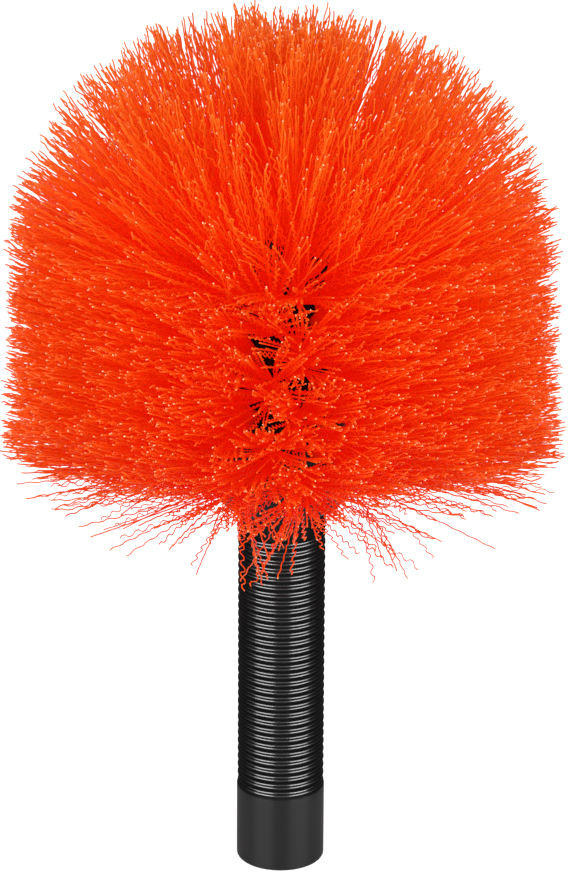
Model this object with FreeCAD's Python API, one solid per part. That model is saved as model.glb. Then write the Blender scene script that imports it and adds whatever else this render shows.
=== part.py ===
import FreeCAD, Part
import math
import os

# Cobweb brush: a domed head of stiff bristle tufts on a round block, whose
# spigot sits in a ribbed tubular socket for a pole.
# Millimetres, +Z up along the brush, origin at the centre of the socket's mouth.

# Socket: a straight tube with a plain cuff at the mouth and a band of ring grooves
SOCKET_DIAMETER = 28.0
SOCKET_LENGTH = 123.5
POLE_BORE_DIAMETER = 21.6
PARTITION_THICKNESS = 6.0
CUFF_LENGTH = 25.4
RIB_RELIEF = 0.2
GROOVE_LEAD = 2.3
GROOVE_PITCH = 2.77
GROOVE_WIDTH = 2.2
GROOVE_DEPTH = 0.5
PLAIN_TOP = 9.5
MOUTH_ROUND = 1.0
MOUTH_CHAMFER = 0.8

# Block: a drilled cylinder with a domed crown and a spigot below its foot
BLOCK_DIAMETER = 39.0
BLOCK_STRAIGHT = 66.0
BLOCK_FOOT_CHAMFER = 1.0
SPIGOT_DIAMETER = 18.0
SPIGOT_LENGTH = 27.0
SPIGOT_CHAMFER = 1.0
SPIGOT_CLEARANCE = 0.1
SPIGOT_END_ROOM = 0.5

# Head: the shape that the bristles are trimmed to, heights from the block's foot
HEAD_DIAMETER = 171.0
DOME_START = 78.5
DOME_HEIGHT = 79.0
FRINGE_TILT = 5.0
BOTTOM_TILT = 10.0
SHOULDER_TILT = 26.0

# Tufts: side rows up the straight wall, two rows on the dome and one crown tuft
FIRST_ROW_HEIGHT = 13.0
ROW_PITCH = 10.4
SIDE_TUFT_PITCH = 13.6
FIRST_TURN = -78.0
LOWER_DOME_LATITUDE = 26.0
UPPER_DOME_LATITUDE = 56.0
DOME_TUFT_PITCH = 14.5
HOLE_DIAMETER = 6.0
HOLE_DEPTH = 8.5
HOLE_CLEARANCE = 0.1
TUFT_GAP = 0.6
MOUTH_STANDOFF = 1.0

# Locks: the bristles of a tuft fan out in two levels of locks, with gaps between uneven tips
LOCK_COLUMNS = 6
LOCK_INSET = 1.6
LOCK_TRIM = 4.0
TRIM_STEPS = 5

# Anchors: a flat strip of wire through the fold of every tuft
ANCHOR_THICKNESS = 0.5
ANCHOR_HEIGHT = 1.8
ANCHOR_CLEARANCE = 0.05
FOLD_THICKNESS = 1.2

# Sizes that follow from those above
SOCKET_RADIUS = SOCKET_DIAMETER / 2
BORE_RADIUS = POLE_BORE_DIAMETER / 2
RECESS_RADIUS = SPIGOT_DIAMETER / 2 + SPIGOT_CLEARANCE
RECESS_DEPTH = SPIGOT_LENGTH + SPIGOT_END_ROOM
BORE_DEPTH = SOCKET_LENGTH - RECESS_DEPTH - PARTITION_THICKNESS
BLOCK_RADIUS = BLOCK_DIAMETER / 2
HEAD_RADIUS = HEAD_DIAMETER / 2
FOOT = SOCKET_LENGTH
HOLE_RADIUS = HOLE_DIAMETER / 2
TUFT_RADIUS = HOLE_RADIUS - HOLE_CLEARANCE
BRISTLE_LENGTH = HEAD_RADIUS - BLOCK_RADIUS
SIDE_ROWS = math.floor((BLOCK_STRAIGHT - FIRST_ROW_HEIGHT) / ROW_PITCH) + 1
ROW_POINT = ROW_PITCH / 4
BUNDLE_SIDES = 2 * LOCK_COLUMNS
SAME_POINT = 1e-6
Z_AXIS = FreeCAD.Vector(0, 0, 1)


def point(radius, height, azimuth=0.0):
    """A point at a radius and a height, turned about Z by an azimuth in degrees."""
    turn = math.radians(azimuth)
    return FreeCAD.Vector(radius * math.cos(turn), radius * math.sin(turn), height)


def revolved(edges):
    """The solid of revolution about Z of a closed outline in the XZ plane."""
    face = Part.Face(Part.Wire(edges))
    return face.revolve(FreeCAD.Vector(0, 0, 0), Z_AXIS, 360)


def outline(corners):
    """Straight edges from corner to corner, closed back to the first."""
    ends = corners[1:] + corners[:1]
    return [Part.LineSegment(a, b).toShape() for a, b in zip(corners, ends)]


def pole_socket():
    """A revolved tube: V grooves outside, a pole bore below, a spigot recess above."""
    rib_radius = SOCKET_RADIUS - RIB_RELIEF
    wall = [point(SOCKET_RADIUS, MOUTH_ROUND), point(SOCKET_RADIUS, CUFF_LENGTH),
            point(rib_radius, CUFF_LENGTH)]
    room = SOCKET_LENGTH - PLAIN_TOP - CUFF_LENGTH - GROOVE_LEAD
    for groove in range(math.floor(room / GROOVE_PITCH) + 1):
        middle = CUFF_LENGTH + GROOVE_LEAD + groove * GROOVE_PITCH
        wall.append(point(rib_radius, middle - GROOVE_WIDTH / 2))
        wall.append(point(rib_radius - GROOVE_DEPTH, middle))
        wall.append(point(rib_radius, middle + GROOVE_WIDTH / 2))
    inside = [point(rib_radius, SOCKET_LENGTH), point(RECESS_RADIUS, SOCKET_LENGTH),
              point(RECESS_RADIUS, SOCKET_LENGTH - RECESS_DEPTH),
              point(0, SOCKET_LENGTH - RECESS_DEPTH), point(0, BORE_DEPTH),
              point(BORE_RADIUS, BORE_DEPTH), point(BORE_RADIUS, MOUTH_CHAMFER),
              point(BORE_RADIUS + MOUTH_CHAMFER, 0), point(SOCKET_RADIUS - MOUTH_ROUND, 0)]
    corners = wall + inside
    edges = outline(corners)[:-1]
    inset = MOUTH_ROUND * (1 - math.sqrt(0.5))
    rim = Part.Arc(corners[-1], point(SOCKET_RADIUS - inset, inset), corners[0])
    return revolved(edges + [rim.toShape()])


def station(travel):
    """Radius, height and bristle tilt where a length of travel from the foot ends.

    The travel runs up the straight wall and then over the dome. The tilt grows evenly
    up the wall, and over the dome from there to straight up at the crown.
    """
    if travel <= BLOCK_STRAIGHT:
        share = travel / BLOCK_STRAIGHT
        return BLOCK_RADIUS, travel, BOTTOM_TILT + (SHOULDER_TILT - BOTTOM_TILT) * share
    latitude = (travel - BLOCK_STRAIGHT) / BLOCK_RADIUS
    share = latitude / math.radians(90)
    return (BLOCK_RADIUS * math.cos(latitude), BLOCK_STRAIGHT + BLOCK_RADIUS * math.sin(latitude),
            SHOULDER_TILT + (90 - SHOULDER_TILT) * share)


def bristle_line(travel, azimuth, shift=0.0, side=0.0, tilt=None):
    """Where a bristle leaves the block at a travel and azimuth, and which way it points.

    The shift moves it square to the bristle, upwards, and side moves its tip round the axis.
    It has the tilt that belongs to its travel, unless another is given.
    """
    radius, height, usual_tilt = station(travel)
    slope = math.radians(usual_tilt if tilt is None else tilt)
    azimuth += math.degrees(side / (radius + BRISTLE_LENGTH * math.cos(slope)))
    start = point(radius - shift * math.sin(slope), FOOT + height + shift * math.cos(slope), azimuth)
    return start, point(math.cos(slope), math.sin(slope), azimuth)


def trimmed(start, heading):
    """Where a line out from the block meets the trimmed head: its cylinder or its ellipsoid."""
    across = heading.x ** 2 + heading.y ** 2
    beside = start.x * heading.x + start.y * heading.y
    inside = start.x ** 2 + start.y ** 2 - HEAD_RADIUS ** 2
    base = FOOT + DOME_START
    if across > 0:
        reach = (math.sqrt(beside ** 2 - across * inside) - beside) / across
        if start.z + reach * heading.z <= base:
            return start + heading * reach
    ratio = (HEAD_RADIUS / DOME_HEIGHT) ** 2
    across += ratio * heading.z ** 2
    beside += ratio * (start.z - base) * heading.z
    inside += ratio * (start.z - base) ** 2
    reach = (math.sqrt(beside ** 2 - across * inside) - beside) / across
    return start + heading * reach


def halfway(one, two):
    """The bristle line halfway between two others, in where it starts and in where it points."""
    return tuple((first + second) * 0.5 for first, second in zip(one, two))


def chord_sag(travel, step):
    """How far a straight edge cuts inside the ring that its ends, a step apart, lie on."""
    radius, _, tilt = station(travel)
    reach = radius + BRISTLE_LENGTH * math.cos(math.radians(tilt))
    return reach * (1 - math.cos(math.radians(step / 2))) * math.sin(math.radians(tilt))


def upper_and_lower(ring):
    """A ring that starts at its left as two edges from left to right, over its top and its bottom."""
    return ring[:LOCK_COLUMNS + 1], [ring[-corner] for corner in range(LOCK_COLUMNS + 1)]


def lock_corners(top, middle, bottom):
    """The four corners of every lock, from left to right in the upper level and then in the lower."""
    locks = []
    for upper, lower in ((top, middle), (middle, bottom)):
        for left in range(LOCK_COLUMNS):
            right = left + 1
            locks.append([lower[left], upper[left], upper[right], lower[right]])
    return locks


def lock_tip(corners, root, order):
    """The end of a lock: drawn in from the edges of its share, and cut back by a step of its own."""
    middle = sum(corners, FreeCAD.Vector()) * (1 / len(corners))
    step = (2 * order + 1) % TRIM_STEPS
    cut_back = (middle - root).normalize() * (LOCK_TRIM * step / (TRIM_STEPS - 1))
    return [corner + (middle - corner).normalize() * LOCK_INSET - cut_back for corner in corners]


def has_area(triangle):
    """Whether the three corners of a triangle lie apart."""
    ends = triangle[1:] + triangle[:1]
    return all(start.distanceToPoint(end) > SAME_POINT for start, end in zip(triangle, ends))


def lock_faces(base, tip, order):
    """The flat triangles of a lock: its end and its left, upper, right and lower side.

    A diagonal divides each side. It starts at the base's upper corner, or on the upper and lower
    sides at the corner nearer to the tuft's middle, so the facing sides of two locks are divided
    alike and stay apart. A side with no width at one end is a single triangle.
    """
    upper, lower = (2, 3) if order % LOCK_COLUMNS < LOCK_COLUMNS / 2 else (1, 0)
    triangles = [[tip[0], tip[2], tip[1]], [tip[0], tip[3], tip[2]]]
    for one, two, start in ((0, 1, 1), (1, 2, upper), (2, 3, 2), (3, 0, lower)):
        end = two if start == one else one
        triangles.append([base[two], base[one], tip[end]])
        triangles.append([tip[two], base[start], tip[one]])
    return [triangle for triangle in triangles if has_area(triangle)]


class Tuft:
    """Where one tuft stands: its root on the block, its axis and its side and up directions."""

    def __init__(self, travel, azimuth):
        radius, height, tilt = station(travel)
        slope = math.radians(tilt)
        self.root = point(radius, FOOT + height, azimuth)
        self.axis = point(math.cos(slope), math.sin(slope), azimuth)
        self.up = point(-math.sin(slope), math.cos(slope), azimuth)
        self.side = self.up.cross(self.axis)

    def section(self, distance):
        """The many-sided bundle that fills the hole, from its left corner over the top and round."""
        centre = self.root + self.axis * distance
        corners = []
        for corner in range(BUNDLE_SIDES):
            turn = math.radians(180 - corner * 360 / BUNDLE_SIDES)
            corners.append(centre + self.side * (TUFT_RADIUS * math.cos(turn))
                           + self.up * (TUFT_RADIUS * math.sin(turn)))
        return corners

    def hole(self):
        """The drilled hole, from its flat end out past the block's surface."""
        start = self.root - self.axis * HOLE_DEPTH
        return Part.makeCylinder(HOLE_RADIUS, HOLE_DEPTH + BLOCK_RADIUS / 2, start, self.axis)

    def strip(self, length, clearance):
        """A flat strip across the tuft, just above the fold at the hole's end."""
        thickness = ANCHOR_THICKNESS + 2 * clearance
        height = ANCHOR_HEIGHT + 2 * clearance
        low = FOLD_THICKNESS - HOLE_DEPTH - clearance
        start = self.root + self.axis * low - self.side * (length / 2) - self.up * (thickness / 2)
        ends = [start, start + self.side * length,
                start + self.side * length + self.up * thickness, start + self.up * thickness]
        return Part.Face(Part.makePolygon(ends + ends[:1])).extrude(self.axis * height)

    def anchor(self):
        """The wire strip itself, wedged across the hole."""
        return self.strip(HOLE_DIAMETER - 2 * ANCHOR_CLEARANCE, 0.0)

    def bristles(self, top_lines, bottom_lines):
        """The flat-faced bundle: straight from its fold to the mouth, then parting into locks.

        The mouth and the tuft's share of the trimmed head are divided alike, and a lock goes
        from each part of the mouth to the part of the head that belongs to it.
        """
        fold = self.section(HOLE_CLEARANCE - HOLE_DEPTH)
        mouth = self.section(MOUTH_STANDOFF)
        faces = [fold]
        for one in range(BUNDLE_SIDES):
            two = (one + 1) % BUNDLE_SIDES
            faces.append([fold[two], fold[one], mouth[one], mouth[two]])
        top, bottom = upper_and_lower(mouth)
        middle = [(high + low) * 0.5 for high, low in zip(top, bottom)]
        middle_lines = [halfway(high, low) for high, low in zip(top_lines, bottom_lines)]
        tips = [[trimmed(start, heading) for start, heading in lines]
                for lines in (top_lines, middle_lines, bottom_lines)]
        locks = zip(lock_corners(top, middle, bottom), lock_corners(*tips))
        for order, (base, tip) in enumerate(locks):
            faces += lock_faces(base, lock_tip(tip, self.root, order), order)
        shell = Part.makeShell([Part.Face(Part.makePolygon(face + face[:1])) for face in faces])
        slot = self.strip(2 * HOLE_DIAMETER, ANCHOR_CLEARANCE)
        return Part.makeSolid(shell).cut(slot)


class Row:
    """A ring of equal tufts: travel up the block, count, turn and the rings it lies between."""

    def __init__(self, travel, count, turn, low, high, low_point, high_point, low_tilt=None):
        self.half_step = 180 / count
        self.low = low
        self.high = high
        self.low_point = low_point
        self.high_point = high_point
        self.low_tilt = low_tilt
        step = 360 / count
        self.azimuths = [turn + step * index for index in range(count)]
        self.tufts = [Tuft(travel, azimuth) for azimuth in self.azimuths]

    def edge(self, azimuth, ring, peak, shift, tilt=None):
        """Bristle lines along an edge of a tuft's cell, from left to right, with a peak halfway."""
        lines = []
        for column in range(LOCK_COLUMNS + 1):
            across = 2 * column / LOCK_COLUMNS - 1
            travel = ring + peak * (1 - 2 * abs(across))
            side = -across * TUFT_GAP / 2
            lines.append(bristle_line(travel, azimuth + across * self.half_step, shift, side, tilt))
        return lines

    def cell(self, azimuth):
        """A tuft's upper and lower edge: pointed where the next row is staggered, else level."""
        half = TUFT_GAP / 2
        sag = 0.0 if self.high_point else chord_sag(self.high, 2 * self.half_step / LOCK_COLUMNS)
        return (self.edge(azimuth, self.high, self.high_point, -half - sag),
                self.edge(azimuth, self.low, -self.low_point, half, self.low_tilt))

    def bristles(self):
        """One trimmed bundle for every tuft of the row."""
        return [tuft.bristles(*self.cell(azimuth))
                for tuft, azimuth in zip(self.tufts, self.azimuths)]


class Crown(Row):
    """The single tuft on top, whose cell is a ring round the axis."""

    def __init__(self, travel, turn, low):
        super().__init__(travel, 1, turn, low, travel, 0.0, 0.0)

    def cell(self, azimuth):
        step = 360 / BUNDLE_SIDES
        return upper_and_lower([bristle_line(self.low, azimuth - 90 - corner * step, TUFT_GAP / 2)
                                for corner in range(BUNDLE_SIDES)])


def ring_count(travel, pitch):
    """How many tufts stand in the ring at a travel, at about the pitch from one to the next."""
    return max(3, round(2 * math.pi * station(travel)[0] / pitch))


def tuft_rows():
    """The side rows, staggered by half a step, then the dome rows and the crown."""
    travels = [FIRST_ROW_HEIGHT + index * ROW_PITCH for index in range(SIDE_ROWS)]
    for latitude in (LOWER_DOME_LATITUDE, UPPER_DOME_LATITUDE, 90.0):
        travels.append(BLOCK_STRAIGHT + BLOCK_RADIUS * math.radians(latitude))
    rings = [FIRST_ROW_HEIGHT - ROW_PITCH / 2]
    rings += [(below + above) / 2 for below, above in zip(travels, travels[1:])]
    rows = []
    for index, travel in enumerate(travels[:-1]):
        on_side = index < SIDE_ROWS
        count = ring_count(travel, SIDE_TUFT_PITCH if on_side else DOME_TUFT_PITCH)
        turn = FIRST_TURN + (index % 2 * 180 / count if on_side else 0.0)
        low_point = ROW_POINT if 0 < index < SIDE_ROWS else 0.0
        high_point = ROW_POINT if index < SIDE_ROWS - 1 else 0.0
        low_tilt = FRINGE_TILT if index == 0 else None
        rows.append(Row(travel, count, turn, rings[index], rings[index + 1],
                        low_point, high_point, low_tilt))
    rows.append(Crown(travels[-1], FIRST_TURN, rings[-1]))
    return rows


def bristle_block(rows):
    """The block with its spigot, revolved, and a hole drilled for every tuft."""
    spigot = SPIGOT_DIAMETER / 2
    low = FOOT - SPIGOT_LENGTH
    shoulder = point(BLOCK_RADIUS, FOOT + BLOCK_STRAIGHT)
    top = point(0, FOOT + BLOCK_STRAIGHT + BLOCK_RADIUS)
    slant = math.sqrt(0.5) * BLOCK_RADIUS
    corners = [top, point(0, low), point(spigot - SPIGOT_CHAMFER, low),
               point(spigot, low + SPIGOT_CHAMFER), point(spigot, FOOT),
               point(BLOCK_RADIUS - BLOCK_FOOT_CHAMFER, FOOT),
               point(BLOCK_RADIUS, FOOT + BLOCK_FOOT_CHAMFER), shoulder]
    dome = Part.Arc(shoulder, point(slant, FOOT + BLOCK_STRAIGHT + slant), top)
    body = revolved(outline(corners)[:-1] + [dome.toShape()])
    return body.cut([tuft.hole() for row in rows for tuft in row.tufts])


def save(node, solids):
    """Writes a node as one solid, or as a group of separate solids."""
    shape = solids[0] if len(solids) == 1 else Part.makeCompound(solids)
    shape.exportStep("parts/" + node + ".step")
    print(node, len(shape.Solids), "solids", round(shape.Volume, 1), "mm3", shape.isValid())


def main():
    os.makedirs("parts", exist_ok=True)
    rows = tuft_rows()
    save("pole_socket", [pole_socket()])
    save("bristle_block", [bristle_block(rows)])
    for number, row in enumerate(rows, 1):
        save(f"tuft_row_{number:02d}", row.bristles())
        save(f"anchor_row_{number:02d}", [tuft.anchor() for tuft in row.tufts])


main()
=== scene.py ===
# %% [markdown]
# # A cobweb brush
# The brush is a dome of crimped orange filaments on a black block, and a ribbed black socket under
# it takes the pole. The solids of the brush come in first, as a fixed frame in metres with +Z up.
# The main sizes below are read from their boxes, so a new size in the solids moves the looks too.

# %% Load the solids
import math

import bpy
import mathutils
import numpy as np
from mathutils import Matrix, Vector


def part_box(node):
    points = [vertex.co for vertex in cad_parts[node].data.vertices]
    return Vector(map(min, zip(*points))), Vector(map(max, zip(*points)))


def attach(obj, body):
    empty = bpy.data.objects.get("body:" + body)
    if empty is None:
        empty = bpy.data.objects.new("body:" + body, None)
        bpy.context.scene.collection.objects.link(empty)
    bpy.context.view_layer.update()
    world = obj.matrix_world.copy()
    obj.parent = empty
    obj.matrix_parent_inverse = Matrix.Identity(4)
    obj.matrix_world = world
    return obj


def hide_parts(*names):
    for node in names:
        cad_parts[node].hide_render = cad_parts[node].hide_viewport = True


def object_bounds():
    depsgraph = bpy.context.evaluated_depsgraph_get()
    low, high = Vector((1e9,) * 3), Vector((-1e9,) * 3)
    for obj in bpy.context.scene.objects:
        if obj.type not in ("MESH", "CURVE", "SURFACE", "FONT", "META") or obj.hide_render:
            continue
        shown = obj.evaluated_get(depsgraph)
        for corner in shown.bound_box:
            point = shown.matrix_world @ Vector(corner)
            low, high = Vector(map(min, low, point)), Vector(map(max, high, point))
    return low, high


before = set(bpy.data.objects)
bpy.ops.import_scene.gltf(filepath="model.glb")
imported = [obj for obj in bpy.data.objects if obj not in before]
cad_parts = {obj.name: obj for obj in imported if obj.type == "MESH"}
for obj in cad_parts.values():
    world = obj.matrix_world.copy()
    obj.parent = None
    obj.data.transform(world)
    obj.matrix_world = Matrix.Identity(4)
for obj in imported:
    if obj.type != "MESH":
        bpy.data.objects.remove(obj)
cad_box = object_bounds()
MM = 0.001
socket_high = np.array(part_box("pole_socket")[1])
block_high = np.array(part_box("bristle_block")[1])
print("solids", len(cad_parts), "socket length", round(socket_high[2] / MM, 1), "mm")

# %% [markdown]
# ## The camera
# The photograph looks down on the brush by about 22 degrees from some 1.5 m away. A camera could be
# placed by eye, but the two edges of the socket and the ellipses of its rings fix all of it: the
# distance, the height and the small lean. A long lens from far off keeps the socket's sides
# parallel.

# %% Place the camera
DISTANCE = 1.5
ELEVATION = math.radians(21.971)
LEAN = math.radians(0.331)
ORBIT_HEIGHT = 140.0 * MM
AIM = mathutils.Vector((0.66 * MM, 0.0, 144.29 * MM))
FOCAL_PIXELS = 4802.0
IMAGE_WIDTH = 569
SENSOR_WIDTH = 36.0
CLIP_END = 50.0
stand = mathutils.Vector((0.0, -DISTANCE * math.cos(ELEVATION),
                          ORBIT_HEIGHT + DISTANCE * math.sin(ELEVATION)))
lens = bpy.data.cameras.new("camera")
lens.sensor_fit = "HORIZONTAL"
lens.sensor_width = SENSOR_WIDTH
lens.lens = FOCAL_PIXELS / IMAGE_WIDTH * SENSOR_WIDTH
lens.clip_end = CLIP_END
camera = bpy.data.objects.new("camera", lens)
bpy.context.collection.objects.link(camera)
facing = (AIM - stand).to_track_quat("-Z", "Y").to_matrix().to_4x4()
lean = mathutils.Matrix.Rotation(LEAN, 4, "Z")
camera.matrix_world = mathutils.Matrix.Translation(stand) @ facing @ lean
bpy.context.scene.camera = camera
bpy.context.scene.view_settings.view_transform = "Standard"
print("lens", round(lens.lens, 1), "mm at", [round(value, 3) for value in stand])

# %% [markdown]
# ## Finishes as formulas
# A finish is a tree of nodes. Clicking it together hides the idea, so here a socket behaves like a
# number: `1 - mask` adds a Math node and gives its socket back. Every other node comes from one
# method, which first makes its settings and then fills or links its sockets.


# %% A socket that can be used like a number
class Signal:
    """One output of a node tree, with arithmetic that adds Math nodes to that tree."""

    def __init__(self, tree, socket=None):
        self.tree = tree
        self.socket = socket

    def node(self, kind, settings, sockets, output=0):
        """A node of any kind: its settings first, then its sockets, by name or place."""
        made = self.tree.nodes.new(kind)
        for name, value in settings.items():
            setattr(made, name, value)
        for key, value in sockets.items():
            if isinstance(value, Signal):
                self.tree.links.new(value.socket, made.inputs[key])
            else:
                made.inputs[key].default_value = value
        return Signal(self.tree, made.outputs[output] if len(made.outputs) else None)

    def math(self, operation, *values):
        """A Math node of that operation on these values, in order."""
        return self.node("ShaderNodeMath", {"operation": operation}, dict(enumerate(values)))

    def __add__(self, other):
        return self.math("ADD", self, other)

    __radd__ = __add__

    def __mul__(self, other):
        return self.math("MULTIPLY", self, other)

    __rmul__ = __mul__

    def __rsub__(self, other):
        return self.math("SUBTRACT", other, self)

    def ramp(self, low, high):
        """0 at low, 1 at high, straight between them and level outside."""
        span = {0: self, 1: low, 2: high, 3: 0.0, 4: 1.0}
        return self.node("ShaderNodeMapRange", {"clamp": True}, span)

    def blend(self, first, second):
        """A colour that goes from the first to the second as this value goes from 0 to 1."""
        ends = {0: self, 6: first, 7: second}
        return self.node("ShaderNodeMix", {"data_type": "RGBA"}, ends, output=2)


print("signal arithmetic ready")


# %% Nodes that the finishes share
def ink(red, green, blue):
    """An opaque colour in the form that a socket takes."""
    return red, green, blue, 1.0


def new_finish(name):
    """An empty material and the tree that its nodes go into."""
    material = bpy.data.materials.new(name)
    material.use_nodes = True
    material.node_tree.nodes.clear()
    return material, Signal(material.node_tree)


def object_place(tree):
    """Object coordinates: metres from the middle of the socket's mouth."""
    return tree.node("ShaderNodeTexCoord", {}, {}, output="Object")


def height_of(place):
    """The height above the mouth at such a place."""
    return place.node("ShaderNodeSeparateXYZ", {}, {0: place}, output="Z")


def noise(place, scale, detail):
    """Soft noise from 0 to 1, with that many cells in a metre and finer layers over them."""
    sockets = {"Vector": place, "Scale": scale, "Detail": detail}
    return place.node("ShaderNodeTexNoise", {}, sockets)


def relief(height, strength, depth):
    """The normal of a skin that rises by that depth where the height goes from 0 to 1."""
    sockets = {"Strength": strength, "Distance": depth, "Height": height}
    return height.node("ShaderNodeBump", {}, sockets)


def kept_number(tree, name):
    """The number that a mesh keeps on its points under that name."""
    return tree.node("ShaderNodeAttribute", {"attribute_name": name}, {}, output="Fac")


def surface(tree, **sockets):
    """A Principled shader whose sockets are named with underscores."""
    named = {name.replace("_", " "): value for name, value in sockets.items()}
    return tree.node("ShaderNodeBsdfPrincipled", {}, named)


def close_finish(tree, shader):
    """Ends a material with that shader."""
    tree.node("ShaderNodeOutputMaterial", {}, {"Surface": shader})


print("shared nodes ready")

# %% [markdown]
# ## Black moulded plastic
# The socket is injection moulded in a turned mould. On the matte cuff the mould's fine rings draw
# every light out into a soft upright band: that is an anisotropic gloss. The ribs are smooth, and
# the lower flanks of their grooves are bright. Towards the edge of view the ribs lose their gloss.
# The height along the socket, read from Object coordinates, mixes the two surfaces, and a number
# kept on the points says where the ribs are bright.

# %% Plastic of the socket
CUFF_TOP = 25.4 * MM
CUFF_EDGE = 0.3 * MM
FLAT_GLOSS = 0.04
EDGE_LOSS = 0.95
socket_plastic, tree = new_finish("socket_plastic")
place = object_place(tree)
grain = noise(place, 2600.0, 2.0)
haze = noise(place, 90.0, 4.0)
skin = relief(grain, 0.2, 0.05 * MM)
edge = tree.node("ShaderNodeLayerWeight", {}, {"Blend": 0.5}, output="Facing")
cuff_shade = haze.blend(ink(0.003, 0.003, 0.0032), ink(0.005, 0.005, 0.0053))
matte = surface(tree, Base_Color=cuff_shade, Roughness=0.36 + 0.06 * haze + 0.4 * edge,
                Normal=skin, Specular_IOR_Level=0.33, Anisotropic=0.9, Anisotropic_Rotation=0.25)
rib_shade = haze.blend(ink(0.006, 0.006, 0.0063), ink(0.01, 0.01, 0.0105))
facing_gloss = 1.0 - EDGE_LOSS * edge.ramp(0.1, 0.38)
gloss = (FLAT_GLOSS + (1.0 - FLAT_GLOSS) * kept_number(tree, "polish")) * facing_gloss
smooth = surface(tree, Base_Color=rib_shade, Roughness=0.4 + 0.1 * haze, Normal=skin,
                 Specular_IOR_Level=0.0, Coat_Weight=gloss, Coat_Roughness=0.22, Coat_IOR=2.1)
ribbed = height_of(place).ramp(CUFF_TOP - CUFF_EDGE, CUFF_TOP + CUFF_EDGE)
close_finish(tree, tree.node("ShaderNodeMixShader", {}, {0: ribbed, 1: matte, 2: smooth}))
print("finish", socket_plastic.name)

# %% [markdown]
# ## Black block and bright wire
# The block inside the bristles is the same black plastic with a coarser skin. The anchors in its
# holes are flat drawn wire with fine scratches. Both kinds of solid already have the right shape
# and stay, so only their finish is made here.

# %% Finish for the block and the anchors
block_plastic, tree = new_finish("block_plastic")
grain = noise(object_place(tree), 900.0, 3.0)
block_shade = grain.blend(ink(0.002, 0.002, 0.0022), ink(0.004, 0.004, 0.0043))
close_finish(tree, surface(tree, Base_Color=block_shade, Roughness=0.45 + 0.15 * grain,
                           Normal=relief(grain, 0.3, 0.1 * MM), Specular_IOR_Level=0.15))

anchor_wire, tree = new_finish("anchor_wire")
scratch = noise(object_place(tree), 3000.0, 3.0)
wire_shade = scratch.blend(ink(0.55, 0.53, 0.5), ink(0.75, 0.73, 0.69))
close_finish(tree, surface(tree, Base_Color=wire_shade, Metallic=1.0,
                           Roughness=0.28 + 0.2 * scratch))

for name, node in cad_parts.items():
    node.data.materials.clear()
    node.data.materials.append(anchor_wire if name.startswith("anchor_row") else block_plastic)
print("finish", block_plastic.name, anchor_wire.name)

# %% [markdown]
# ## The socket
# The real socket is a tube with rounded ring grooves, a plain cuff and a screw thread for the pole.
# It could be turned from a profile with Screw or Spin, but then the thread is a second piece. Here
# one grid does it all: one parameter walks along the wall's outline and the other goes round, and
# in the bore the radius also gets a helix, which is only a function of both parameters.


# %% Outline of the ribbed wall
SOCKET_RADIUS = socket_high[0]
SOCKET_LENGTH = socket_high[2]
RIB_STEP = 0.2 * MM
RIB_RADIUS = SOCKET_RADIUS - RIB_STEP
TOP_ROUND = 0.4 * MM
GROOVE_PITCH = 2.77 * MM
GROOVE_WIDTH = 2.7 * MM
GROOVE_DEPTH = 0.5 * MM
GROOVE_FIRST = CUFF_TOP + 2.3 * MM
GROOVE_LIMIT = SOCKET_LENGTH - 9.5 * MM
GROOVE_COUNT = math.floor((GROOVE_LIMIT - GROOVE_FIRST) / GROOVE_PITCH) + 1


def groove_wall(heights):
    """Radius of the ribbed wall: its own radius less a cosine bell at every pitch."""
    turns = (heights - GROOVE_FIRST) / GROOVE_PITCH
    nearest = np.clip(np.round(turns), 0, GROOVE_COUNT - 1)
    off = np.clip((turns - nearest) * GROOVE_PITCH / (GROOVE_WIDTH / 2), -1.0, 1.0)
    return RIB_RADIUS - GROOVE_DEPTH * (0.5 + 0.5 * np.cos(np.pi * off))


# Samples across a groove, in half widths: close together where the gloss begins and ends.
gloss_samples = np.array([0.0, 0.05, 0.08, 0.11, 0.14, 0.18, 0.22, 0.27, 0.32, 0.5])
upper_samples = np.array([0.25, 0.5, 0.75, 1.0])
samples = np.concatenate([gloss_samples - 1.0, -gloss_samples[-2::-1], upper_samples])
groove_middles = GROOVE_FIRST + GROOVE_PITCH * np.arange(GROOVE_COUNT)
groove_heights = (groove_middles[:, None] + samples[None, :] * GROOVE_WIDTH / 2).ravel()
low_band = np.linspace(CUFF_TOP + 0.25 * MM, groove_heights[0], 4, endpoint=False)
top_band = np.linspace(groove_heights[-1], SOCKET_LENGTH - TOP_ROUND, 6)[1:]
rib_heights = np.concatenate([low_band, groove_heights, top_band])
rib_wall = np.stack([groove_wall(rib_heights), rib_heights], axis=1)
print("grooves", GROOVE_COUNT, "points on the ribbed wall", len(rib_wall))

# %% Outline of the whole wall
MOUTH_ROUND = 1.0 * MM
MOUTH_BEVEL = 0.8 * MM
BORE_RADIUS = 10.8 * MM
BORE_DEPTH = 90.0 * MM
BORE_LOW = 1.2 * MM
CUFF_LOW = 3.0 * MM
RECESS_RADIUS = 9.1 * MM
RECESS_FLOOR = SOCKET_LENGTH - 27.5 * MM


def arc(across, height, rounding, start, end, count):
    """Points on a circle about a centre, from one angle to another, in degrees."""
    angles = np.radians(np.linspace(start, end, count))
    return np.stack([across + rounding * np.cos(angles), height + rounding * np.sin(angles)],
                    axis=1)


def straight(start, end, count):
    """Evenly spaced points from one point up to, but not including, the other."""
    share = np.linspace(0.0, 1.0, count, endpoint=False)[:, None]
    return np.array(start) * (1 - share) + np.array(end) * share


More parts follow.
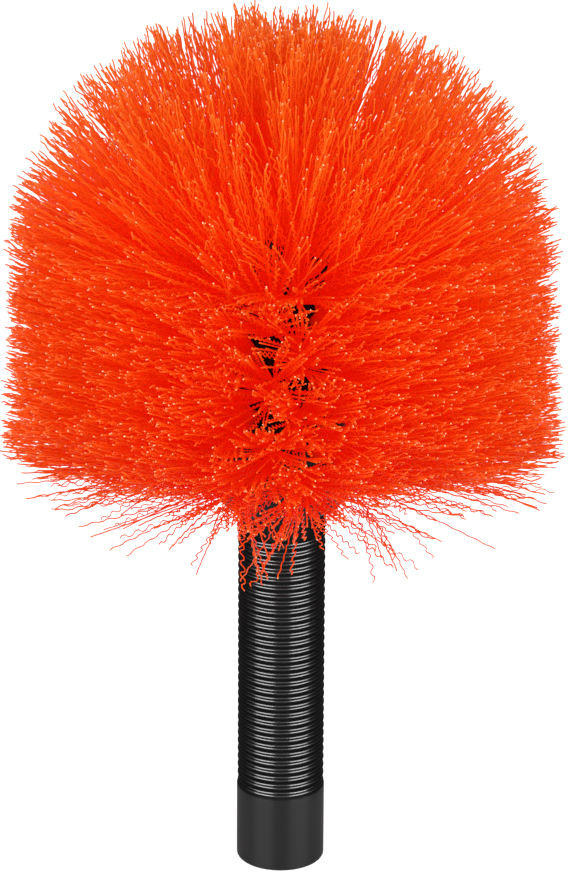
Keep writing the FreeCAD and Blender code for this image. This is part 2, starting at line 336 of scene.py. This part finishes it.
outline = np.concatenate([
    straight((0.0, BORE_DEPTH), (BORE_RADIUS, BORE_DEPTH), 5)[1:],
    straight((BORE_RADIUS, BORE_DEPTH), (BORE_RADIUS, BORE_LOW), 150),
    [(BORE_RADIUS, MOUTH_BEVEL), (BORE_RADIUS + MOUTH_BEVEL, 0.0)],
    arc(SOCKET_RADIUS - MOUTH_ROUND, MOUTH_ROUND, MOUTH_ROUND, -90, 0, 6),
    straight((SOCKET_RADIUS, CUFF_LOW), (SOCKET_RADIUS, CUFF_TOP - CUFF_EDGE), 8),
    arc(SOCKET_RADIUS - RIB_STEP, CUFF_TOP - RIB_STEP, RIB_STEP, 0, 90, 4),
    rib_wall,
    arc(RIB_RADIUS - TOP_ROUND, SOCKET_LENGTH - TOP_ROUND, TOP_ROUND, 15, 90, 4),
    straight((RECESS_RADIUS, SOCKET_LENGTH), (RECESS_RADIUS, RECESS_FLOOR), 4),
    straight((RECESS_RADIUS, RECESS_FLOOR), (0.0, RECESS_FLOOR), 4)])
print("outline points", len(outline))

# %% Turn the outline into the socket
AROUND = 100
THREAD_LEAD = 4.2 * MM
THREAD_DEPTH = 0.7 * MM
THREAD_START = 3.0 * MM
THREAD_END = 48.0 * MM
THREAD_FADE = 4.0 * MM


def thread_cut(radii, heights, turns):
    """How far the pole's thread is cut into the bore: a bell along the height, wound as a helix.

    The bell's middle climbs by one lead in every turn, and it fades out near both ends.
    """
    phase = heights / THREAD_LEAD - turns
    bell = np.clip(1.6 * np.cos(2 * np.pi * phase) - 0.2, 0.0, 1.0)
    run_in = np.clip((heights - THREAD_START) / THREAD_FADE, 0.0, 1.0)
    run_out = np.clip((THREAD_END - heights) / THREAD_FADE, 0.0, 1.0)
    return THREAD_DEPTH * bell * run_in * run_out * np.isclose(radii, BORE_RADIUS)


def turned_grid(profile, count, cut):
    """Points and faces of an outline carried round Z, with a pole where it starts and ends.

    A point at radius r, height z and turn a lies at r cos a, r sin a, z, and the cut widens r.
    """
    turns = np.arange(count) / count
    angles = 2 * np.pi * turns
    radii = profile[:, 0][:, None] * np.ones(count)
    heights = profile[:, 1][:, None] * np.ones(count)
    radii = radii + cut(radii, heights, turns)
    grid = np.stack([radii * np.cos(angles), radii * np.sin(angles), heights], axis=2)
    grid = grid.reshape(-1, 3)
    poles = np.array([(0.0, 0.0, profile[0, 1]), (0.0, 0.0, profile[-1, 1])])
    rows = np.arange(len(profile) - 1)[:, None] * count
    here = np.arange(count)[None, :]
    after = (here + 1) % count
    quads = np.stack([rows + here, rows + after, rows + count + after, rows + count + here], axis=2)
    first = len(grid)
    last_row = (len(profile) - 1) * count
    start_fan = np.stack([np.full(count, first), after[0], here[0]], axis=1)
    end_fan = np.stack([np.full(count, first + 1), last_row + here[0], last_row + after[0]], axis=1)
    return np.concatenate([grid, poles]), quads.reshape(-1, 4), np.concatenate([start_fan, end_fan])


def new_piece(name, points, quads, triangles, finish):
    """A mesh object from whole arrays, with smooth quads, flat triangles and one finish."""
    corners = np.concatenate([quads.ravel(), triangles.ravel()])
    quad_starts = np.arange(len(quads)) * 4
    triangle_starts = len(quads) * 4 + np.arange(len(triangles)) * 3
    starts = np.concatenate([quad_starts, triangle_starts])
    mesh = bpy.data.meshes.new(name)
    mesh.vertices.add(len(points))
    mesh.vertices.foreach_set("co", points.astype(np.float32).ravel())
    mesh.loops.add(len(corners))
    mesh.loops.foreach_set("vertex_index", corners.astype(np.int32))
    mesh.polygons.add(len(starts))
    mesh.polygons.foreach_set("loop_start", starts.astype(np.int32))
    mesh.polygons.foreach_set("use_smooth", np.arange(len(starts)) < len(quads))
    mesh.update(calc_edges=True)
    mesh.materials.append(finish)
    piece = bpy.data.objects.new(name, mesh)
    bpy.context.collection.objects.link(piece)
    return piece


def keep_number(piece, label, values):
    """Keeps one number on every point of a piece, for its finish to read."""
    layer = piece.data.attributes.new(label, "FLOAT", "POINT")
    layer.data.foreach_set("value", values.astype(np.float32))


socket = new_piece("socket_tube", *turned_grid(outline, AROUND, thread_cut), socket_plastic)
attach(socket, "root")
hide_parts("pole_socket")
print("socket faces", len(socket.data.polygons))

# %% [markdown]
# ## Bright flanks
# A ring groove mirrors the lamps only on the strip of its lower flank that leans the right way. The
# slope of the wall says where that is, so the gloss follows the shape and needs no painted mask.

# %% Mark where the ribs are bright
BRIGHT_FROM = 0.12
BRIGHT_TO = 0.5
BRIGHT_FADE = 0.06
SLOPE_STEP = 0.01 * MM
outline_radii, outline_heights = outline.T
on_ribs = (outline_heights > CUFF_TOP) & (outline_radii > RIB_RADIUS - 1.2 * GROOVE_DEPTH)
wall_below = groove_wall(outline_heights - SLOPE_STEP)
wall_above = groove_wall(outline_heights + SLOPE_STEP)
slope = (wall_below - wall_above) / (2 * SLOPE_STEP)
fade_in = np.clip((slope - BRIGHT_FROM) / BRIGHT_FADE, 0.0, 1.0)
fade_out = np.clip((BRIGHT_TO - slope) / BRIGHT_FADE, 0.0, 1.0)
bright = fade_in * fade_out * on_ribs
pole_values = [0.0, 0.0]
keep_number(socket, "polish", np.concatenate([np.repeat(bright, AROUND), pole_values]))
print("bright rings of points", np.count_nonzero(bright))

# %% [markdown]
# ## Orange filament
# The bristles are drawn plastic filament, dyed through, and light passes on between neighbours. A
# fibre system would be quick, but it can't be handed on as a mesh. Each filament is real here, and
# two numbers are kept on its points: how far along it a point lies, and a chance tint of its own.
# Red light goes through many filaments before it is lost, and a faint painted red glow stands in
# for that light. The outer part of a filament is painted lighter, most of all at the crown: painted
# light where fewer neighbours shade it. The cut end of a light filament scatters and shows as a
# pale dot, which has a paler painted glow.

# %% Finish of the filaments
CROWN_LOW = 210.0 * MM
CROWN_HIGH = 285.0 * MM
CROWN_SHARE = 0.45
OUTER_FROM = 0.6
TINT_SHARE = 0.4
# The bristle material holds the dye, painted light and a painted red glow
bristle_dye_and_painted_light, tree = new_finish("bristle")
along = kept_number(tree, "along")
tint = kept_number(tree, "tint")
# Painted light: the outer part of a filament, and more so at the crown, is painted lighter
outer_part = along.ramp(OUTER_FROM, 1.0)
outer = (1.0 - TINT_SHARE) * outer_part + TINT_SHARE * tint
crown = CROWN_SHARE * height_of(object_place(tree)).ramp(CROWN_LOW, CROWN_HIGH) * outer_part
body = outer.blend(ink(0.87, 0.055, 0.002), ink(0.81, 0.124, 0.007))
body_with_painted_light = crown.blend(body, ink(0.7, 0.27, 0.016))
pale = along.ramp(0.9955, 0.998) * tint.ramp(0.6, 0.95)
# The base colour: dye and chance tint, with painted light, and a pale dot at the cut end
dye_with_painted_light = pale.blend(body_with_painted_light, ink(1.0, 0.6, 0.35))
# A painted red glow, deeper inside and paler at cut ends, stands in for light through filaments
inside = outer_part.blend(ink(1.0, 0.016, 0.0), ink(1.0, 0.05, 0.002))
painted_glow = pale.blend(inside, ink(1.0, 0.2, 0.08))
close_finish(tree, surface(tree, Base_Color=dye_with_painted_light, Roughness=0.34 + 0.12 * tint,
                           Specular_IOR_Level=0.22, Emission_Color=painted_glow, Emission_Strength=0.23))
# The painted glow is too faint to light anything, so it isn't sampled as a lamp.
bristle_dye_and_painted_light.cycles.emission_sampling = "NONE"
print("finish", bristle_dye_and_painted_light.name)

# %% [markdown]
# ## Where the tufts stand
# Six rings of nine tufts go up the wall of the block, each turned half a step from the last, and
# fourteen more cover its domed top. A tuft points out and up, more steeply the higher it stands.
# One length, the travel up the wall and over the dome, gives the place and the tilt of any ring.

# %% Rings of tufts on the block
WALL_RINGS = 6
RING_FIRST = 13.0 * MM
RING_STEP = 10.4 * MM
FOOT = socket_high[2]
BLOCK_RADIUS = block_high[0]
WALL = block_high[2] - BLOCK_RADIUS - FOOT
latitudes = np.radians([26.0, 56.0, 90.0])
counts = [9] * WALL_RINGS + [8, 5, 1]
first_turns = [-78.0, -58.0] * 3 + [-78.0] * 3
travels = np.concatenate([RING_FIRST + RING_STEP * np.arange(WALL_RINGS),
                          WALL + BLOCK_RADIUS * latitudes])
edges = np.concatenate([[travels[0] - RING_STEP / 2], (travels[1:] + travels[:-1]) / 2,
                        [travels[-1]]])
print("rings", len(travels), "tufts", sum(counts))

# %% Tilt of the tufts
BOTTOM_TILT = 6.5
SHOULDER_TILT = 26.0
FRONT_LIFT = 16.0
MIDDLE_LOSS = 0.7
MIDDLE_POWER = 24


def station(travel, azimuth):
    """Radius, height and tilt at a travel: up the wall, then along the dome's quarter circle.

    The tilt grows evenly up the wall, and then evenly over the dome to straight up. Low down on the
    side that faces the camera, the bristles are brushed up, but the tuft in the very middle less.
    """
    latitude = np.clip((travel - WALL) / BLOCK_RADIUS, 0.0, None)
    on_wall = np.clip(travel, None, WALL)
    tilt = BOTTOM_TILT + (SHOULDER_TILT - BOTTOM_TILT) * on_wall / WALL
    tilt = tilt + (90.0 - SHOULDER_TILT) * latitude / (np.pi / 2)
    front = np.clip(-np.sin(azimuth), 0.0, None)
    lift = front - MIDDLE_LOSS * front ** MIDDLE_POWER
    tilt = tilt + FRONT_LIFT * (1.0 - on_wall / WALL) * lift
    height = FOOT + on_wall + BLOCK_RADIUS * np.sin(latitude)
    return BLOCK_RADIUS * np.cos(latitude), height, np.radians(tilt)


def turned(radius, height, azimuth):
    """Points at a radius and height, turned about Z by an azimuth in radians."""
    points = [radius * np.cos(azimuth), radius * np.sin(azimuth), height + 0.0 * azimuth]
    return np.stack(points, axis=-1)


print("tilt from", BOTTOM_TILT, "degrees at the foot to 90 at the crown")

# %% The trimmed head
HEAD_RADIUS = max(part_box("tuft_row_%02d" % (row + 1))[1][0] for row in range(len(counts)))
HEAD_TOP = cad_box[1][2]
DOME_BASE = FOOT + 78.5 * MM


def trimmed(start, heading):
    """Where lines from the block meet the trimmed head: its cylinder below, its ellipsoid above.

    Both are quadratics in the reach along the line, and the larger root is the outer meeting. The
    ellipsoid is a sphere once its heights are stretched, and the cylinder ignores all heights.
    """
    def meeting(stretch):
        weight = np.array([1.0, 1.0, stretch ** 2])
        from_base = start - np.array([0.0, 0.0, DOME_BASE])
        a = np.sum(weight * heading * heading, axis=-1)
        b = np.sum(weight * from_base * heading, axis=-1)
        c = np.sum(weight * from_base * from_base, axis=-1) - HEAD_RADIUS ** 2
        reach = (np.sqrt(b * b - a * c) - b) / np.maximum(a, 1e-9)
        return start + heading * reach[..., None]

    side = meeting(0.0)
    dome = meeting(HEAD_RADIUS / (HEAD_TOP - DOME_BASE))
    return np.where(side[..., 2:] <= DOME_BASE, side, dome)


print("head radius", round(HEAD_RADIUS / MM, 1), "mm, top", round(HEAD_TOP / MM, 1), "mm")

# %% [markdown]
# ## Where the filaments aim
# The ends of a worn-in tuft aren't spread evenly: filaments cling together in locks, and dark gaps
# show between these. Filaments at chance places would give an even fuzz. So the part of the head
# that belongs to a tuft is divided in squares, every square gets one lock, and every filament
# joins one.

# %% Aims of a ring's filaments
SIDE_CLUMPS = 6
DOME_CLUMPS = 7
LOCK_UNEVEN = 0.03
UPWARD_SPREAD = 2.4
# How far a ring's tips reach into the rings below and above, in heights of its own cell.
OVERLAPS = [(0.15, 0.6)] + [(0.7, 0.7)] * 4 + [(0.5, 1.3), (0.9, 0.35), (0.3, 0.9), (0.0, 0.6)]
# How far apart the tips of a lock lie in each ring, in widths of its cell.
SPREADS = [0.05] * WALL_RINGS + [0.03, 0.03, 0.09]


def tip_cells(row, per_tuft, chance):
    """The azimuth of each filament's tuft, the azimuth and travel that the filament aims for, its
    place across and up its tuft's cell, and the reach of its lock.

    A cell is divided in squares, and each has one lock somewhere in it, whose filaments end near
    its middle. The single tuft at the crown has a round cell: there the share of the way from the
    rim to the middle is one less a square root, which spreads the tips evenly.
    """
    count = counts[row]
    total = count * per_tuft
    tuft = np.repeat(np.arange(count), per_tuft)
    step = 2 * np.pi / count
    middle = np.radians(first_turns[row]) + step * tuft
    clumps = SIDE_CLUMPS if travels[row] < WALL else DOME_CLUMPS
    squares = clumps ** 2
    lock = tuft * squares + chance.integers(0, squares, total)
    square = np.arange(count * squares) % squares
    lock_across = (square % clumps + chance.uniform(0.0, 1.0, len(square))) / clumps - 0.5
    lock_upward = (square // clumps + chance.uniform(0.0, 1.0, len(square))) / clumps
    below, above = OVERLAPS[row]
    lock_upward = lock_upward * (1.0 + below + above) - below
    across = lock_across[lock] + chance.normal(0.0, SPREADS[row], total)
    upward = lock_upward[lock] + chance.normal(0.0, UPWARD_SPREAD * SPREADS[row], total)
    if count == 1:
        upward = 1.0 - np.sqrt(np.clip(upward, 0.0, None))
    travel = edges[row] + (edges[row + 1] - edges[row]) * upward
    lock_reach = 1.0 - np.abs(chance.normal(0.0, LOCK_UNEVEN, len(square)))
    return middle, middle + step * across, travel, across, upward, lock_reach[lock]


print("locks in a tuft", SIDE_CLUMPS ** 2, "on the wall and", DOME_CLUMPS ** 2, "on the dome")

# %% [markdown]
# ## Crimped filaments
# A filament leaves its hole in the bundle, fans out and ends on the trimmed head. Its middle line
# is a quadratic curve from hole to tip, and the crimp is a zigzag across it in a plane of its own.
# Two samples in each wave are enough, one at every bend. Three corners round the line make the
# filament, which is so thin that smooth shading rounds it, and all filaments of a ring are one
# array.

# %% Middle lines of a ring's filaments
TUFT_RADIUS = 2.9 * MM
ROOT_MARGIN = 0.4 * MM
ROOT_DEPTH = 1.5 * MM
ROOT_CHANCE = 0.25
BEND_AT = 0.4
BEND_CHANCE = 1.0 * MM
AXIS_SHARE = 0.25
LOOSE_TILT = -5.0
LOOSE_FAN = 1.6
LOOSE_REACH = (0.8, 1.02)
DROOP_POWER = 2.5
LOW_PART = 0.6
EVEN_BULGE = 0.02
LOW_BULGE = 0.05
DOME_BULGE = 0.16
CROWN_DROP = 0.03
UNEVEN = 0.05
DOME_UNEVEN = 0.045


def unit(vectors):
    """The same directions with length one."""
    return vectors / np.linalg.norm(vectors, axis=-1, keepdims=True)


def reach_of(travel, lock_reach, chance):
    """How far each filament goes on its way to the trimmed head, as a share of that way.

    It is its lock's reach, less a chance amount that grows over the dome, plus a bulge. The head
    bulges a little near its lower edge and halfway over the dome, and is low at the very crown.
    """
    dome_share = np.clip((travel - WALL) / (travels[-1] - WALL), 0.0, 1.0)
    low_share = np.clip(1.0 - travel / (LOW_PART * WALL), 0.0, 1.0)
    dome_bulge = DOME_BULGE * dome_share * (1.0 - dome_share) - CROWN_DROP * dome_share ** 2
    bulge = EVEN_BULGE + LOW_BULGE * low_share + dome_bulge
    uneven = UNEVEN + DOME_UNEVEN * dome_share
    return lock_reach - np.abs(chance.normal(0.0, 1.0, len(travel))) * uneven + bulge


def middle_lines(row, per_tuft, loose, chance):
    """Root, bend and tip of each filament's curve, the direct way along it and its length.

    The curve is (1-t)^2 root + 2t(1-t) bend + t^2 tip. The bend point lies out of the hole, between
    the tuft's axis and the straight way to the tip. Loose filaments hang below the trimmed edge, by
    anything from nothing down to the lowest tilt.
    """
    middle, azimuth, travel, across, upward, lock_reach = tip_cells(row, per_tuft, chance)
    total = len(middle)
    reach = reach_of(travel, lock_reach, chance)
    if loose:
        azimuth = middle + LOOSE_FAN * (azimuth - middle)
        travel = np.full(total, edges[0])
        reach = chance.uniform(*LOOSE_REACH, total)
    radius, height, tilt = station(travel, azimuth)
    if loose:
        droop = chance.uniform(0.0, 1.0, total) ** DROOP_POWER
        tilt = tilt + (np.radians(LOOSE_TILT) - tilt) * droop
    heading = turned(np.cos(tilt), np.sin(tilt), azimuth)
    tip = trimmed(turned(radius, height, azimuth), heading)
    radius, height, tilt = station(travels[row], middle)
    axis = turned(np.cos(tilt), np.sin(tilt), middle)
    up = turned(-np.sin(tilt), np.cos(tilt), middle)
    side = np.cross(up, axis)
    spread = np.stack([-2 * across, 2 * upward - 1], axis=1)
    spread = spread + chance.normal(0.0, ROOT_CHANCE, (total, 2))
    spread = spread / np.maximum(1.0, np.linalg.norm(spread, axis=1, keepdims=True))
    spread = spread * (TUFT_RADIUS - ROOT_MARGIN)
    root = turned(radius, height, middle) - axis * ROOT_DEPTH
    root = root + side * spread[:, :1] + up * spread[:, 1:]
    length = np.linalg.norm(tip - root, axis=1, keepdims=True)
    tip = root + (tip - root) * reach[:, None]
    chord = unit(tip - root)
    bend = root + unit(AXIS_SHARE * axis + (1.0 - AXIS_SHARE) * chord) * (BEND_AT * length)
    bend = bend + chance.normal(0.0, BEND_CHANCE, (total, 3))
    return root, bend, tip, chord, length


print("middle lines leave holes of", round(TUFT_RADIUS / MM, 1), "mm radius")

# %% Crimp of a ring's filaments
HALF_WAVE = 2.6 * MM
CRIMPED_SHARE = 0.74
MOST_WAVES = 19
STRAIGHT_SAMPLES = 3
STRONG_THROWS = (0.4 * MM, 0.65 * MM)
WEAK_THROWS = (0.05 * MM, 0.32 * MM)
STRONG_SHARE = 0.5
LOOSE_STRONG_SHARE = 0.65
THROW_CHANCE = (0.75, 1.25)
WAVE_CHANCE = (0.93, 1.09)
LAST_PHASES = (0.15, 1.0)


def crimped(row, per_tuft, loose, chance):
    """Points of the wave, the crimp's own directions and the share of the length at each point.

    From the tip inwards a half wave is one point, or two for a loose filament that is seen by
    itself, thrown to alternate sides, and the last few points down to the root are straight.
    """
    root, bend, tip, chord, length = middle_lines(row, per_tuft, loose, chance)
    total = len(root)
    fine = 2 if loose else 1
    waves = min(MOST_WAVES, int(CRIMPED_SHARE * np.median(length) / HALF_WAVE))
    step = HALF_WAVE / length * chance.uniform(*WAVE_CHANCE, (total, 1)) / fine
    phase = chance.uniform(*LAST_PHASES, (total, 1))
    back = (phase + np.arange(waves * fine)[None, ::-1]) * step
    crimps = np.concatenate([1.0 - back, np.ones((total, 1))], axis=1)
    inner = crimps[:, :1] * np.linspace(0.0, 1.0, STRAIGHT_SAMPLES, endpoint=False)
    share = np.concatenate([inner, crimps], axis=1)
    line = ((1 - share) ** 2)[..., None] * root[:, None]
    line = line + (2 * share * (1 - share))[..., None] * bend[:, None]
    line = line + (share ** 2)[..., None] * tip[:, None]
    helper = np.where(np.abs(chord[:, 2:]) < 0.9, [[0.0, 0.0, 1.0]], [[1.0, 0.0, 0.0]])
    one = unit(np.cross(chord, helper))
    two = np.cross(chord, one)
    turn = chance.uniform(0.0, 2 * np.pi, (total, 1))
    throw_way = np.cos(turn) * one + np.sin(turn) * two
    other_way = np.cross(chord, throw_way)
    strong_share = LOOSE_STRONG_SHARE if loose else STRONG_SHARE
    strong = chance.uniform(0.0, 1.0, (total, 1)) < strong_share
    strong_throw = chance.uniform(*STRONG_THROWS, (total, 1))
    weak_throw = chance.uniform(*WEAK_THROWS, (total, 1))
    throw = np.where(strong, strong_throw, weak_throw)
    throw = throw * chance.uniform(*THROW_CHANCE, (total, waves)) * (-1.0) ** np.arange(waves)
    throw = np.repeat(throw, fine, axis=1)
    last = throw[:, -1:] * (1 - 2 * phase)
    throw = np.concatenate([np.zeros((total, STRAIGHT_SAMPLES)), throw, last], axis=1)
    return line + throw[..., None] * throw_way[:, None], throw_way, other_way, share


print("crimp of", round(2 * HALF_WAVE / MM, 1), "mm wave length")

# %% Skin of a ring's filaments
SEED = 40
CORNERS = 3
MAP_BANDS = 8
FILAMENT_RADII = (0.24 * MM, 0.3 * MM)
LOOSE_THIN = 0.85


def filament_map(share):
    """Map corners of all filaments: each has an upright strip of its own, in bands of strips.

    A strip's columns are the sides of the filament, and the way up it is the share of the length.
    A tenth of its width stays free on either side, and its two ends hold the end triangles.
    """
    total, levels = share.shape
    columns = math.ceil(total / MAP_BANDS)
    column = (np.arange(total) % columns)[:, None, None] + np.zeros((1, levels - 1, 1))
    band = (np.arange(total) // columns)[:, None, None] + np.zeros((1, 1, CORNERS))
    here = np.arange(CORNERS)[None, None, :]
    left = (column + 0.1 + 0.8 * here / CORNERS) / columns
    right = (column + 0.1 + 0.8 * (here + 1) / CORNERS) / columns
    low = (band + 0.05 + 0.88 * share[:, :-1, None]) / MAP_BANDS
    high = (band + 0.05 + 0.88 * share[:, 1:, None]) / MAP_BANDS
    quad_u = np.stack([left, right, right, left], axis=3)
    quad_v = np.stack([low, low, high, high], axis=3)
    cap_u = (column[:, 0] + np.array([[0.1, 0.9, 0.5]])) / columns
    low_v = (band[:, 0] + np.array([[0.01, 0.01, 0.04]])) / MAP_BANDS
    high_v = (band[:, 0] + np.array([[0.95, 0.95, 0.98]])) / MAP_BANDS
    all_u = np.concatenate([quad_u.ravel(), cap_u.ravel(), cap_u.ravel()])
    all_v = np.concatenate([quad_v.ravel(), low_v.ravel(), high_v.ravel()])
    return np.stack([all_u, all_v], axis=1)


def filament_faces(total, levels):
    """Quads between neighbouring levels of every filament, and a triangle at either end."""
    base = (np.arange(total) * levels * CORNERS)[:, None, None]
    level = (np.arange(levels - 1) * CORNERS)[None, :, None]
    here = base + level + np.arange(CORNERS)[None, None, :]
    after = base + level + (np.arange(CORNERS)[None, None, :] + 1) % CORNERS
    quads = np.stack([here, after, after + CORNERS, here + CORNERS], axis=3)
    low_cap = base[:, 0] + np.array([[2, 1, 0]])
    high_cap = base[:, 0] + (levels - 1) * CORNERS + np.array([[0, 1, 2]])
    return quads.reshape(-1, 4), np.concatenate([low_cap, high_cap])


def bristle_piece(name, row, per_tuft, loose=False):
    """The filaments of a ring as one piece, with their map and their two numbers per point.

    Three corners round each point of the middle line, a filament's radius away, give a grid.
    """
    chance = np.random.default_rng(SEED + row + per_tuft)
    line, one, two, share = crimped(row, per_tuft, loose, chance)
    total, levels = share.shape
    radius = chance.uniform(*FILAMENT_RADII, (total, 1, 1, 1)) * (LOOSE_THIN if loose else 1.0)
    angles = (2 * np.pi * np.arange(CORNERS) / CORNERS)[None, :, None]
    ring = one[:, None, :] * np.cos(angles) + two[:, None, :] * np.sin(angles)
    points = line[:, :, None, :] + radius * ring[:, None, :, :]
    tint = chance.uniform(0.0, 1.0, total)
    quads, triangles = filament_faces(total, levels)
    piece = new_piece(name, points.reshape(-1, 3), quads, triangles, bristle_dye_and_painted_light)
    layer = piece.data.uv_layers.new(name="OFBake")
    layer.uv.foreach_set("vector", filament_map(share).astype(np.float32).ravel())
    keep_number(piece, "along", np.repeat(share.ravel(), CORNERS))
    keep_number(piece, "tint", np.repeat(tint, levels * CORNERS))
    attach(piece, "root")
    print(name, "triangles", 2 * len(quads) + len(triangles))
    return piece


print("filaments of", CORNERS, "sides, maps of", MAP_BANDS, "bands")

# %% Bristles of every ring
PER_TUFT = 145
CROWN_TUFT = 320
LOOSE_PER_TUFT = 56
for row in range(len(counts)):
    per_tuft = CROWN_TUFT if counts[row] == 1 else PER_TUFT
    piece = bristle_piece("bristles_row_%02d" % (row + 1), row, per_tuft)
    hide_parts("tuft_row_%02d" % (row + 1))
bristle_piece("bristles_loose", 0, LOOSE_PER_TUFT, loose=True)

# %% [markdown]
# ## Light and floor
# A soft lamp on either side of the camera leaves two upright lights on the socket with a dark line
# between them. A large lamp above and another behind light the crown and the rim of the head, and a
# plain pale world fills the rest. Stronger lamps could make the floor white, but they would bleach
# the brush. The floor shines back to the camera by itself instead, while a plain share of it stays
# dull, so the brush keeps its shadow.


# %% Lamps
LIT_POINT = mathutils.Vector((0.0, 0.0, 150.0 * MM))


def soft_lamp(name, place, size, power):
    """A rectangular lamp that is turned towards the brush.

    Its place is an azimuth a from the camera's side, an elevation e, and a distance along the way
    (sin a cos e, -cos a cos e, sin e).
    """
    azimuth, elevation, distance = place
    turn = math.radians(azimuth)
    rise = math.radians(elevation)
    way = mathutils.Vector((math.sin(turn) * math.cos(rise), -math.cos(turn) * math.cos(rise),
                            math.sin(rise)))
    lamp = bpy.data.lights.new(name, "AREA")
    lamp.shape = "RECTANGLE"
    lamp.size, lamp.size_y = size
    lamp.energy = power
    holder = bpy.data.objects.new(name, lamp)
    bpy.context.collection.objects.link(holder)
    aimed = (-way).to_track_quat("-Z", "Y").to_matrix().to_4x4()
    holder.matrix_world = mathutils.Matrix.Translation(LIT_POINT + way * distance) @ aimed
    print("lamp", name, power, "W")


soft_lamp("panel_left", place=(-44.0, 6.0, 1.0), size=(0.95, 0.36), power=6.5)
soft_lamp("panel_right", place=(50.0, 6.0, 1.0), size=(0.95, 0.36), power=6.5)
soft_lamp("lamp_top", place=(0.0, 65.0, 1.3), size=(1.2, 0.9), power=7.8)
soft_lamp("lamp_back", place=(180.0, 35.0, 1.3), size=(1.4, 0.8), power=6.5)

# %% World and floor
WHITE = ink(1.0, 1.0, 1.0)
WORLD_STRENGTH = 0.22
FLOOR_SHINE = 0.9
FLOOR_HALF = 6.0


def seen_directly(tree):
    """1 for rays from the camera, or by way of a mirror or through glass, and 0 for lighting."""
    rays = [tree.node("ShaderNodeLightPath", {}, {}, output=name)
            for name in ("Is Camera Ray", "Is Glossy Ray", "Is Transmission Ray")]
    mirrored = rays[0].math("MAXIMUM", rays[0], rays[1])
    return mirrored.math("MAXIMUM", mirrored, rays[2])


world = bpy.data.worlds.new("studio")
world.use_nodes = True
world.node_tree.nodes.clear()
tree = Signal(world.node_tree)
light = tree.node("ShaderNodeBackground", {}, {"Color": WHITE, "Strength": WORLD_STRENGTH})
tree.node("ShaderNodeOutputWorld", {}, {"Surface": light})
bpy.context.scene.world = world

ground, tree = new_finish("ground")
dull = tree.node("ShaderNodeBsdfDiffuse", {}, {"Color": ink(0.5, 0.5, 0.5)})
shine_strength = FLOOR_SHINE * seen_directly(tree)
shine = tree.node("ShaderNodeEmission", {}, {"Color": WHITE, "Strength": shine_strength})
close_finish(tree, tree.node("ShaderNodeAddShader", {}, {0: dull, 1: shine}))
corners = FLOOR_HALF * np.array([(-1.0, -1.0, 0.0), (1.0, -1.0, 0.0), (1.0, 1.0, 0.0),
                                 (-1.0, 1.0, 0.0)])
no_triangles = np.empty((0, 3), dtype=int)
floor = new_piece("floor", corners, np.array([[0, 1, 2, 3]]), no_triangles, ground)
print("floor", 2 * FLOOR_HALF, "m")
